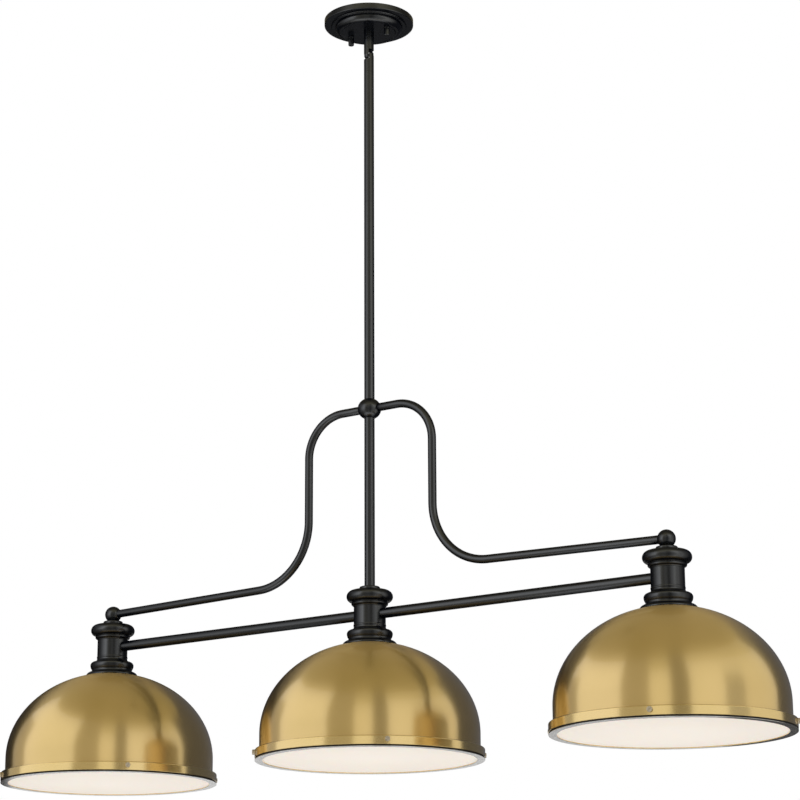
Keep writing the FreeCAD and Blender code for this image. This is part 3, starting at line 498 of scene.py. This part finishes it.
# From below: a spigot in the barrel, a bead, a cove out to the wide bulge, and a flattened top that is hollow.
cap = profile(
    (17.0, barrel_top - 2), (21.2, barrel_top - 2), (21.2, barrel_top, 0.1), (barrel_r, barrel_top, 0.1),
    bow((barrel_r, barrel_top), (24.9, barrel_top + 1.7), (26.2, barrel_top + 2.6), 10),
    bow((26.2, barrel_top + 2.6), (27.8, barrel_top + 4.6), (27.0, barrel_top + 6.9), 12)[1:],
    bow((27.1, barrel_top + 7.5), (33.7, barrel_top + 11.2), (35.2, barrel_top + 15.8), 18),
    bow((35.2, barrel_top + 15.8), (33.6, barrel_top + 21.4), (26.5, cap_top - 1.4), 22)[1:],
    bow((26.5, cap_top - 1.4), (20.5, cap_top - 0.4), (14.4, cap_top), 8)[1:],
    (nipple_hole, cap_top), (nipple_hole, barrel_top - 2), (9.5, barrel_top - 2), (9.5, cap_top - 4.4),
    (23.0, cap_top - 4.4), (31.4, barrel_top + 15.5, 1), (23.3, barrel_top + 7.6, 1), (17.0, barrel_top + 3.4, 1))
barrel = profile(
    (nipple_hole, barrel_foot), (barrel_r, barrel_foot, 0.2),
    bow((barrel_r, barrel_foot + 0.6), (24.75, barrel_foot + 2.2), (barrel_r, barrel_foot + 3.8), 12),
    (barrel_r, barrel_top, 0.5), (21.7, barrel_top), (21.7, barrel_foot + 2.5), (nipple_hole, barrel_foot + 2.5))

# From above: a cove, a fillet, a torus, a waist and a flange whose underside lies on the dome.
flange_r, well_r = 41.0, 29.2
seat = dome_height(flange_r) + 0.3
flange = seat + 6.4
base = profile(
    (nipple_hole, barrel_foot), (24.4, barrel_foot, 0.1),
    bow((24.4, barrel_foot), (25.3, barrel_foot - 3.13), (27.9, barrel_foot - 4.6), 12),
    (27.9, barrel_foot - 5.4, 0.15),
    bow((27.9, barrel_foot - 5.4), (33.8, barrel_foot - 7.8), (34.7, barrel_foot - 11.2), 20),
    bow((34.7, barrel_foot - 11.2), (34.2, barrel_foot - 14.2), (32.5, barrel_foot - 17.6), 14)[1:],
    bow((32.5, barrel_foot - 17.6), (32.2, barrel_foot - 19.2), (33.0, flange), 12),
    bow((33.0, flange), (38.7, flange - 2.0), (flange_r, seat + 1.6), 18),
    (flange_r, seat, 0.4), (35.1, dome_height(35.1) + 0.3), (well_r, dome_height(well_r) + 0.3),
    (well_r, barrel_foot - 11.2), (24.9, barrel_foot - 5.8), (21.2, barrel_foot - 3),
    (nipple_hole, barrel_foot - 3))
for name, x in lamps.items():
    if x:
        piece("finial_ball_" + name, [turned(finial, 80, x)], satin_black, "pendant")
    for part, outline in (("collar_", collar), ("neck_cap_", cap), ("neck_barrel_", barrel), ("neck_base_", base)):
        piece(part + name, [turned(outline, 120, x)], satin_black, "pendant")


# ---------------------------------------------------------------- lampholder and bulb
# A glazed porcelain lampholder with a brass screw shell hangs from the threaded tube, and holds a bulb with
# an opal glass envelope on a rolled nickel-plated base.

porcelain = finish("glazed_porcelain", Roughness=0.16, Coat_Weight=0.4, Coat_Roughness=0.06)
glaze = mottle(porcelain, 60, 4)
feed(porcelain, "Base Color", shades(porcelain, glaze, (0.3, (0.80, 0.78, 0.73)), (0.7, (0.88, 0.87, 0.83))))
relief(porcelain, (glaze, 0.00008))

shell_brass = finish("pressed_shell_brass", Metallic=1.0, Roughness=0.28)
tarnish = mottle(shell_brass, 160, 5)
feed(shell_brass, "Base Color", shades(shell_brass, tarnish, (0.3, (0.62, 0.44, 0.18)), (0.7, (0.80, 0.62, 0.30))))
feed(shell_brass, "Roughness", between(shell_brass, tarnish, 0.22, 0.40))

opal = finish("opal_bulb_glass", Roughness=0.12, Subsurface_Weight=0.3, Subsurface_Scale=0.01, Coat_Weight=0.5,
              Coat_Roughness=0.04)
milk = mottle(opal, 25, 3)
feed(opal, "Base Color", shades(opal, milk, (0.3, (0.86, 0.85, 0.82)), (0.7, (0.92, 0.91, 0.89))))

nickel = finish("nickel_plate", Metallic=1.0, Roughness=0.25)
nickel_tone = mottle(nickel, 400, 4)
feed(nickel, "Base Color", shades(nickel, nickel_tone, (0.3, (0.58, 0.55, 0.50)), (0.7, (0.72, 0.70, 0.66))))
feed(nickel, "Roughness", between(nickel, nickel_tone, 0.2, 0.34))

dome_t, washer_t = 1.0, 1.5
washer_z = dome_height(14.0, dome_t) - 0.3 - washer_t
socket_top = washer_z - locknut_t - 0.1
socket_roof = socket_top - 6
socket_floor = socket_roof - 8
socket_r, socket_bore, wire_hole = 19.0, 13.95, 2.95
holder = profile(
    (tapped_r, socket_top), (9.0, socket_top, 0.6), (9.0, socket_roof, 0.8), (socket_r, socket_roof, 2.4),
    (socket_r, socket_roof - 34, 0.8), (socket_bore, socket_roof - 34, 0.8), (socket_bore, socket_floor),
    (wire_hole, socket_floor), (wire_hole, socket_roof + 0.9), (tapped_r, socket_roof + 0.9))

shell_r, shell_t, shell_foot = 13.85, 0.5, socket_floor - 24
shell = profile(
    (shell_r, shell_foot), (shell_r, socket_floor, 0.4), (wire_hole, socket_floor),
    (wire_hole, socket_floor - shell_t), (shell_r - shell_t, socket_floor - shell_t),
    (shell_r - shell_t, shell_foot), ease=0.1)

bulb_tip = socket_floor - shell_t - 0.3
bulb_end = bulb_tip - 110
bulb_r, neck_r, shoulder = 30.0, 12.6, np.radians(25)
neck_z = bulb_tip - 25
belly_z = bulb_end + bulb_r
joint = (bulb_r * np.cos(shoulder), belly_z + bulb_r * np.sin(shoulder))
neck_mid = ((13.0 + joint[0]) / 2 - 2, (neck_z + joint[1]) / 2 + 2)
envelope = profile(
    (0, neck_z), (neck_r, neck_z, 0.1), bow((neck_r, neck_z), neck_mid, joint, 30),
    bow(joint, (bulb_r * diagonal, belly_z - bulb_r * diagonal), (0, bulb_end), 40)[1:])


def bulb_base(x):
    """Rolled screw base: radius = 12.7 + 0.28 cos(2 pi height / 3.6 - angle), narrowing to the contact."""
    heights = np.linspace(neck_z, bulb_tip - 6, 60)[:, None]
    turn = 2 * np.pi * np.arange(64) / 64
    reach = 12.7 + 0.28 * np.cos(2 * np.pi * heights / 3.6 - turn)
    rolled = np.stack(np.broadcast_arrays(reach * np.cos(turn), reach * np.sin(turn), heights), axis=-1)
    contact = np.array([[12.0, -5.6], [10.0, -4], [4.5, -0.3], [3.9, 0], [0, 0]]) + (0, bulb_tip)
    tip = np.stack(np.broadcast_arrays(contact[:, :1] * np.cos(turn), contact[:, :1] * np.sin(turn),
                                       contact[:, 1:]), axis=-1)
    foot = np.broadcast_to(np.array([0, 0, neck_z]), (1, 64, 3))
    return {**woven(np.concatenate([foot, rolled, tip]) + (x, 0, 0)), "finish": 1}


for name, x in lamps.items():
    piece("socket_" + name, [turned(holder, 80, x)], porcelain, "pendant")
    piece("bulb_" + name, [turned(envelope, 96, x), bulb_base(x)], [opal, nickel], "pendant")
piece("socket_shells", [turned(shell, 64, x) for x in lamps.values()], shell_brass, "pendant")
dress(jackets[0], "inner_leads")


# ---------------------------------------------------------------- domes
# Spun from 1 mm brass sheet over a wooden form and brushed while they turn, then lacquered.  The brush lines
# run round the dome, so reflections are drawn out into upright bands.

def brushed_brass(name, dark, light, gloss):
    """Brass with fine lines that run round a piece: noise on (cos a, sin a, run), pulled out round it.

    Roughness = gloss + 0.24 times the share of the way up to the crown, where the lines close in to a point.
    """
    brass = finish(name, Metallic=1.0, Anisotropic=0.8, Anisotropic_Rotation=0.25,
                   Coat_Weight=0.6, Coat_Roughness=0.1)
    turning = add(brass, "Attribute", attribute_name="turning").outputs["Vector"]
    hair = mottle(brass, 1.0, 3, (3, 3, 9000), turning)
    stroke = mottle(brass, 1.0, 2, (1.2, 1.2, 1300), turning)
    cloud = mottle(brass, 7, 4)
    feed(brass, "Base Color", shades(brass, cloud, (0.3, dark), (0.7, light)))
    height = add(brass, "SeparateXYZ", {"Vector": add(brass, "TexCoord").outputs["Object"]}).outputs["Z"]
    crown = add(brass, "MapRange", {"Value": height, "From Min": (crown_z - 71.5) * 0.001,
                                    "From Max": (crown_z - 6.5) * 0.001, "To Min": 0.0, "To Max": 0.24})
    rough = add(brass, "Math", {0: between(brass, stroke, *gloss), 1: crown.outputs["Result"]})
    feed(brass, "Roughness", rough.outputs[0])
    relief(brass, (hair, 0.0000003), (stroke, 0.00000015))
    feed(brass, "Tangent", add(brass, "Tangent", direction_type="UV_MAP", uv_map="turn").outputs["Tangent"])
    return brass


dome_brass = brushed_brass("brushed_dome_brass", (0.75, 0.545, 0.215), (0.81, 0.59, 0.255), (0.275, 0.285))
inside_r, inside_rise = dome_r - dome_t, dome_rise - dome_t
edge_z = skirt_z - 35
outer = np.linspace(np.arcsin(nipple_hole / dome_r), np.pi / 2, 90)
inner = np.linspace(np.pi / 2, np.arcsin(nipple_hole / inside_r), 60)
shade = profile(
    np.stack([dome_r * np.sin(outer), skirt_z + dome_rise * np.cos(outer), 0 * outer], axis=-1),
    (dome_r, edge_z, 0.3), (inside_r, edge_z, 0.3),
    np.stack([inside_r * np.sin(inner), skirt_z + inside_rise * np.cos(inner), 0 * inner], axis=-1))
for name, x in lamps.items():
    piece("dome_" + name, [turned(shade, 256, x)], dome_brass, "pendant")


# ---------------------------------------------------------------- rings, diffusers and thumb screws
# A rolled brass channel holds a frosted glass disc on its lip and slips over the dome's edge; four slotted
# thumb screws through the band clamp it.  It comes down to change the bulb.

ring_brass = brushed_brass("brushed_ring_brass", (0.79, 0.59, 0.24), (0.86, 0.65, 0.30), (0.225, 0.24))
ring_lip = finish("bare_lip_metal", Metallic=1.0, Roughness=0.18)
lip_rub = mottle(ring_lip, 120, 4)
feed(ring_lip, "Base Color", shades(ring_lip, lip_rub, (0.3, (0.70, 0.69, 0.67)), (0.7, (0.78, 0.77, 0.75))))
feed(ring_lip, "Roughness", between(ring_lip, lip_rub, 0.15, 0.21))
# Painted shade: a near-black finish for the seam groove's faces, standing in for the shadow that lies in it; its
# tone wanders a little at random.
seam_painted_shade = finish("painted_shade_seam", Roughness=0.8)
seam_shade_noise = mottle(seam_painted_shade, 300)
feed(seam_painted_shade, "Base Color",
     shades(seam_painted_shade, seam_shade_noise, (0.3, (0.004, 0.003, 0.002)), (0.7, (0.012, 0.009, 0.006))))

# From below: the lip under the glass, a seam groove whose faces are painted near-black as shade, the band, and a
# flange that turns in to the dome.
ring_z, ring_wall = -1190.5, 1.2
lip_r, seam_r, ring_r, ring_inside, flange_in = 159.6, 169.9, 171.5, 169.7, 165.3
lip_top, seam_top, band_foot, ring_top = ring_z + 0.5, ring_z + 2.8, ring_z + 2.9, ring_z + 16
glass_foot = ring_z + ring_wall
channel = profile(
    (lip_r, ring_z, 0.3), (ring_r, ring_z, 0.2), (ring_r, lip_top, 0.1), (seam_r, lip_top + 0.2, 0.1),
    (seam_r, seam_top, 0.1), (ring_r, band_foot, 0.7), (ring_r, ring_top, 1.8), (flange_in, ring_top, 0.3),
    (flange_in, ring_top - ring_wall, 0.3), (ring_inside, ring_top - ring_wall, 0.3),
    (ring_inside, glass_foot, 0.1), (lip_r, glass_foot, 0.4))

glass_r, glass_top = 169.5, glass_foot + 3
disc = profile((0, glass_foot), (glass_r, glass_foot, 0.4), (glass_r, glass_top, 0.4), (0, glass_top))

# Frosted on its face, with a painted glow as if a lamp lit it from inside: the emission is brightest at the middle
# of its underside and dimmer out to the rim, its edge and its top.
frosted = finish("frosted_glass", Roughness=0.5, Subsurface_Weight=0.2, Subsurface_Scale=0.02,
                 Emission_Strength=1.0)
frost = mottle(frosted, 3500, 2)
haze = mottle(frosted, 6, 3)
feed(frosted, "Base Color", shades(frosted, haze, (0.3, (0.88, 0.81, 0.75)), (0.7, (0.92, 0.85, 0.79))))
relief(frosted, (frost, 0.00001))
disc_turning = add(frosted, "Attribute", attribute_name="turning").outputs["Vector"]
run = add(frosted, "SeparateXYZ", {"Vector": disc_turning}).outputs["Z"]
# Painted glow: a warm emission colour that falls off from the middle of the disc's underside.
feed(frosted, "Emission Color",
     shades(frosted, run, (0.0, (0.27, 0.215, 0.165)), (0.17, (0.21, 0.155, 0.115))))

screw_metal = finish("turned_screw_brass", Metallic=1.0, Roughness=0.3)
lathe = mottle(screw_metal, 1200, 3)
feed(screw_metal, "Base Color", shades(screw_metal, lathe, (0.3, (0.40, 0.34, 0.25)), (0.7, (0.74, 0.66, 0.53))))
feed(screw_metal, "Roughness", between(screw_metal, lathe, 0.24, 0.4))
screw_z = ring_z + 10.2


def thumb_screw(x, turn):
    """Shank, knurled head and two half-moon lands, about a radius of the ring; the slot is left between them.

    The head's radius is 3.9 mm times 1 + 0.035 cos(24 angle) along its grip.  A land is an arc and its chord,
    drawn in towards its middle as it rises.
    """
    foot, out = np.array([x, 0, screw_z]), np.array([np.cos(turn), np.sin(turn), 0])
    shank = flange_in - ring_r
    along = np.array([shank, shank, 0, 0, 0.3, 0.5, 2.7, 2.9, 3.1, 3.1])[:, None]
    reach = np.array([0, 1.6, 1.6, 3.6, 3.8, 3.9, 3.9, 3.8, 3.5, 0])[:, None]
    angle = 2 * np.pi * np.arange(96) / 96
    reach = reach * (1 + np.where((along > 0.4) & (along < 2.8), 0.035, 0.0) * np.cos(24 * angle))
    head = np.stack(np.broadcast_arrays(reach * np.cos(angle), reach * np.sin(angle), ring_r + along), axis=-1)
    skins = [woven(stood(head, foot, out))]

    land_r, slot_half, chord = 3.8, 0.55, 3.7
    gap = np.arcsin(slot_half / land_r)
    arc = np.linspace(gap, np.pi - gap, 24)
    land = np.concatenate([np.stack([land_r * np.cos(arc), land_r * np.sin(arc)], axis=-1),
                           np.stack([np.linspace(-chord, chord, 12), np.full(12, slot_half)], axis=-1)])
    middle = np.array([0, 1.9])
    steps = ((1, 3.0), (1, 3.9), (0.97, 4.2), (0.9, 4.36), (0.8, 4.4), (0, 4.4))
    for half in (0, np.pi):
        tilt = np.radians(35) + half
        spin = np.array([[np.cos(tilt), np.sin(tilt)], [-np.sin(tilt), np.cos(tilt)]])
        rows = [np.column_stack([(middle + (land - middle) * size) @ spin, np.full(len(land), ring_r + rise)])
                for size, rise in steps]
        skins.append(woven(stood(np.array(rows), foot, out)))
    return skins


screw_turns = {"left": 50.0, "middle": 43.0, "right": 18.0}
for name, x in lamps.items():
    body = "ring_set_" + name
    hoop = turned(channel, 256, x)
    height, out = hoop["middles"][:, 2], np.hypot(hoop["middles"][:, 0] - x, hoop["middles"][:, 1])
    on_edge, on_lip = out < lip_r + 0.15, height < lip_top + 0.05
    in_seam = (height < band_foot - 0.05) & (out > seam_r - 0.1)
    # The seam groove's faces take the painted-shade finish.
    hoop["finish"] = np.select([on_edge, on_lip, in_seam], [0, 1, 2], 0)
    piece("ring_" + name, [hoop], [ring_brass, ring_lip, seam_painted_shade], body)
    piece("diffuser_" + name, [turned(disc, 160, x)], frosted, body)
    turns = np.radians(screw_turns[name] - 90 + 90 * np.arange(4))
    piece("ring_screws_" + name, [skin for turn in turns for skin in thumb_screw(x, turn)], screw_metal, body)


# ---------------------------------------------------------------- floor, studio, lamps and camera
# A plain pale floor and a plain white surround with two soft lamps.  Grey and warm cards stand round the
# light, where only reflections see them: they give the metal its bright and dark bands.

def staged(name, points, faces, material):
    """An object that isn't part of the light."""
    mesh = bpy.data.meshes.new(name)
    mesh.from_pydata(points, [], faces)
    mesh.materials.append(material)
    made = bpy.data.objects.new(name, mesh)
    bpy.context.scene.collection.objects.link(made)
    return made


floor_paint = finish("pale_floor", Roughness=0.7)
feed(floor_paint, "Base Color",
     shades(floor_paint, mottle(floor_paint, 3), (0.3, (0.86, 0.86, 0.86)), (0.7, (0.88, 0.88, 0.88))))
tree = floor_paint.node_tree
seen = add(floor_paint, "LightPath").outputs["Is Camera Ray"]
under = add(floor_paint, "NewGeometry").outputs["Backfacing"]
gone = add(floor_paint, "Math", {0: seen, 1: under}, operation="MULTIPLY").outputs[0]
clear = add(floor_paint, "BsdfTransparent").outputs[0]
mixed = add(floor_paint, "MixShader", {0: gone, 1: tree.nodes["Principled BSDF"].outputs[0], 2: clear}).outputs[0]
tree.links.new(mixed, tree.nodes["Material Output"].inputs["Surface"])
wide, floor_z = 14.0, -2.9
staged("floor", [(-wide, -wide, floor_z), (wide, -wide, floor_z), (wide, wide, floor_z), (-wide, wide, floor_z)],
       [(0, 1, 2, 3)], floor_paint)

camera_side = -55.2
card_reach, card_centre = 2.6, -1.1


def card(name, colour, left, right, low, high):
    """A card curved round the light: the patch of a sphere between two turns and two heights in degrees.

    A turn is counted from the camera's side.
    """
    turn, climb = np.meshgrid(np.radians(np.linspace(left, right, 40) + camera_side),
                              np.radians(np.linspace(low, high, 12)))
    patch = card_reach * np.stack([np.cos(climb) * np.cos(turn), np.cos(climb) * np.sin(turn), np.sin(climb)],
                                  axis=-1)
    index = np.arange(turn.size).reshape(turn.shape)
    quads = np.stack([index[:-1, :-1], index[:-1, 1:], index[1:, 1:], index[1:, :-1]], axis=-1)
    paper = bpy.data.materials.new(name)
    paper.use_nodes = True
    paper.cycles.emission_sampling = "NONE"
    paper.node_tree.nodes.remove(paper.node_tree.nodes["Principled BSDF"])
    shown = add(paper, "Emission", {"Color": (*colour, 1)}).outputs[0]
    paper.node_tree.links.new(shown, paper.node_tree.nodes["Material Output"].inputs["Surface"])
    points = patch.reshape(-1, 3) + (0, 0, card_centre)
    made = staged(name, points.tolist(), quads.reshape(-1, 4).tolist(), paper)
    for ray in ("camera", "diffuse", "transmission", "volume_scatter", "shadow"):
        setattr(made, "visible_" + ray, False)


for name, colour, left, right, low, high in (
        ("overhead_card", (0.36, 0.32, 0.20), -180, 180, 44, 90),
        ("left_card", (0.47, 0.44, 0.36), -44, -16, -40, 44),
        ("middle_card", (0.88, 0.86, 0.78), -16, 3, -40, 28),
        ("middle_top_card", (0.58, 0.55, 0.42), -16, 3, 28, 44),
        ("slit_card", (0.32, 0.30, 0.25), 3, 18, -40, 44),
        ("right_card", (0.90, 0.89, 0.85), 18, 46, -40, 34),
        ("right_side_card", (0.48, 0.47, 0.44), 46, 63, -40, 18),
        ("right_edge_card", (0.80, 0.78, 0.73), 63, 100, -40, 18),
        ("right_upper_card", (0.86, 0.85, 0.80), 46, 100, 18, 34),
        ("right_top_card", (0.62, 0.59, 0.46), 18, 100, 34, 44),
        ("right_back_card", (0.11, 0.112, 0.125), 100, 184, -4, 44),
        ("left_back_card", (0.03, 0.029, 0.028), 184, 236, -4, 24),
        ("left_back_top_card", (0.12, 0.112, 0.096), 184, 236, 24, 44),
        ("low_right_card", (0.08, 0.08, 0.08), 100, 160, -12, -4),
        ("low_left_card", (0.03, 0.029, 0.028), 200, 236, -12, -4),
        ("low_card", (0.06, 0.058, 0.054), 100, 236, -40, -12),
        ("low_side_card", (0.34, 0.33, 0.31), -104, -44, -40, -11),
        ("low_far_side_card", (0.46, 0.44, 0.40), -124, -104, -40, 26),
        ("floor_card", (0.08, 0.078, 0.072), -180, 180, -90, -40)):
    card(name, colour, left, right, low, high)

# The surround is white to the camera, to polished metal and through glass, and a little dimmer as a light.
world = bpy.data.worlds.new("studio")
bpy.context.scene.world = world
world.use_nodes = True
surround = world.node_tree.nodes["Background"]
surround.inputs["Color"].default_value = (1, 1, 1, 1)
rays = add(world, "LightPath").outputs
seen = add(world, "Math", {0: rays["Is Camera Ray"], 1: rays["Is Glossy Ray"]}, operation="MAXIMUM").outputs[0]
seen = add(world, "Math", {0: seen, 1: rays["Is Transmission Ray"]}, operation="MAXIMUM").outputs[0]
level = add(world, "MapRange", {"Value": seen, "To Min": 0.8, "To Max": 1.0}).outputs["Result"]
world.node_tree.links.new(level, surround.inputs["Strength"])

aim = Vector((0, 0, -0.9))
lamp_reach = 3.4
for name, turn, height, size, power in (("key_light", -85, 0.9, 2.4, 70), ("fill_light", 55, 0.5, 2.0, 35)):
    lamp = bpy.data.lights.new(name, "AREA")
    lamp.size = size
    lamp.energy = power
    stand = bpy.data.objects.new(name, lamp)
    bpy.context.scene.collection.objects.link(stand)
    angle = np.radians(turn + camera_side)
    spot = Vector((lamp_reach * np.cos(angle), lamp_reach * np.sin(angle), height))
    stand.location = spot
    stand.rotation_mode = "QUATERNION"
    stand.rotation_quaternion = (aim - spot).to_track_quat("-Z", "Y")
    stand.visible_glossy = False
    stand.visible_camera = False

# The camera's place, turn and lens were fitted to the photo.
camera = bpy.data.objects.new("camera", bpy.data.cameras.new("camera"))
bpy.context.scene.collection.objects.link(camera)
camera.data.sensor_width = 36.0
camera.data.lens = 111.68
camera.data.clip_end = 100.0
right = Vector((0.82769996, 0.5611508, -0.00474885))
up = Vector((0.15190816, -0.21590273, 0.96452575))
turned_to = Matrix((right, up, right.cross(up))).transposed()
camera.matrix_world = Matrix.Translation((2.11244, -3.04022, -1.64742)) @ turned_to.to_4x4()
bpy.context.scene.camera = camera

bpy.context.scene.view_settings.view_transform = "Standard"
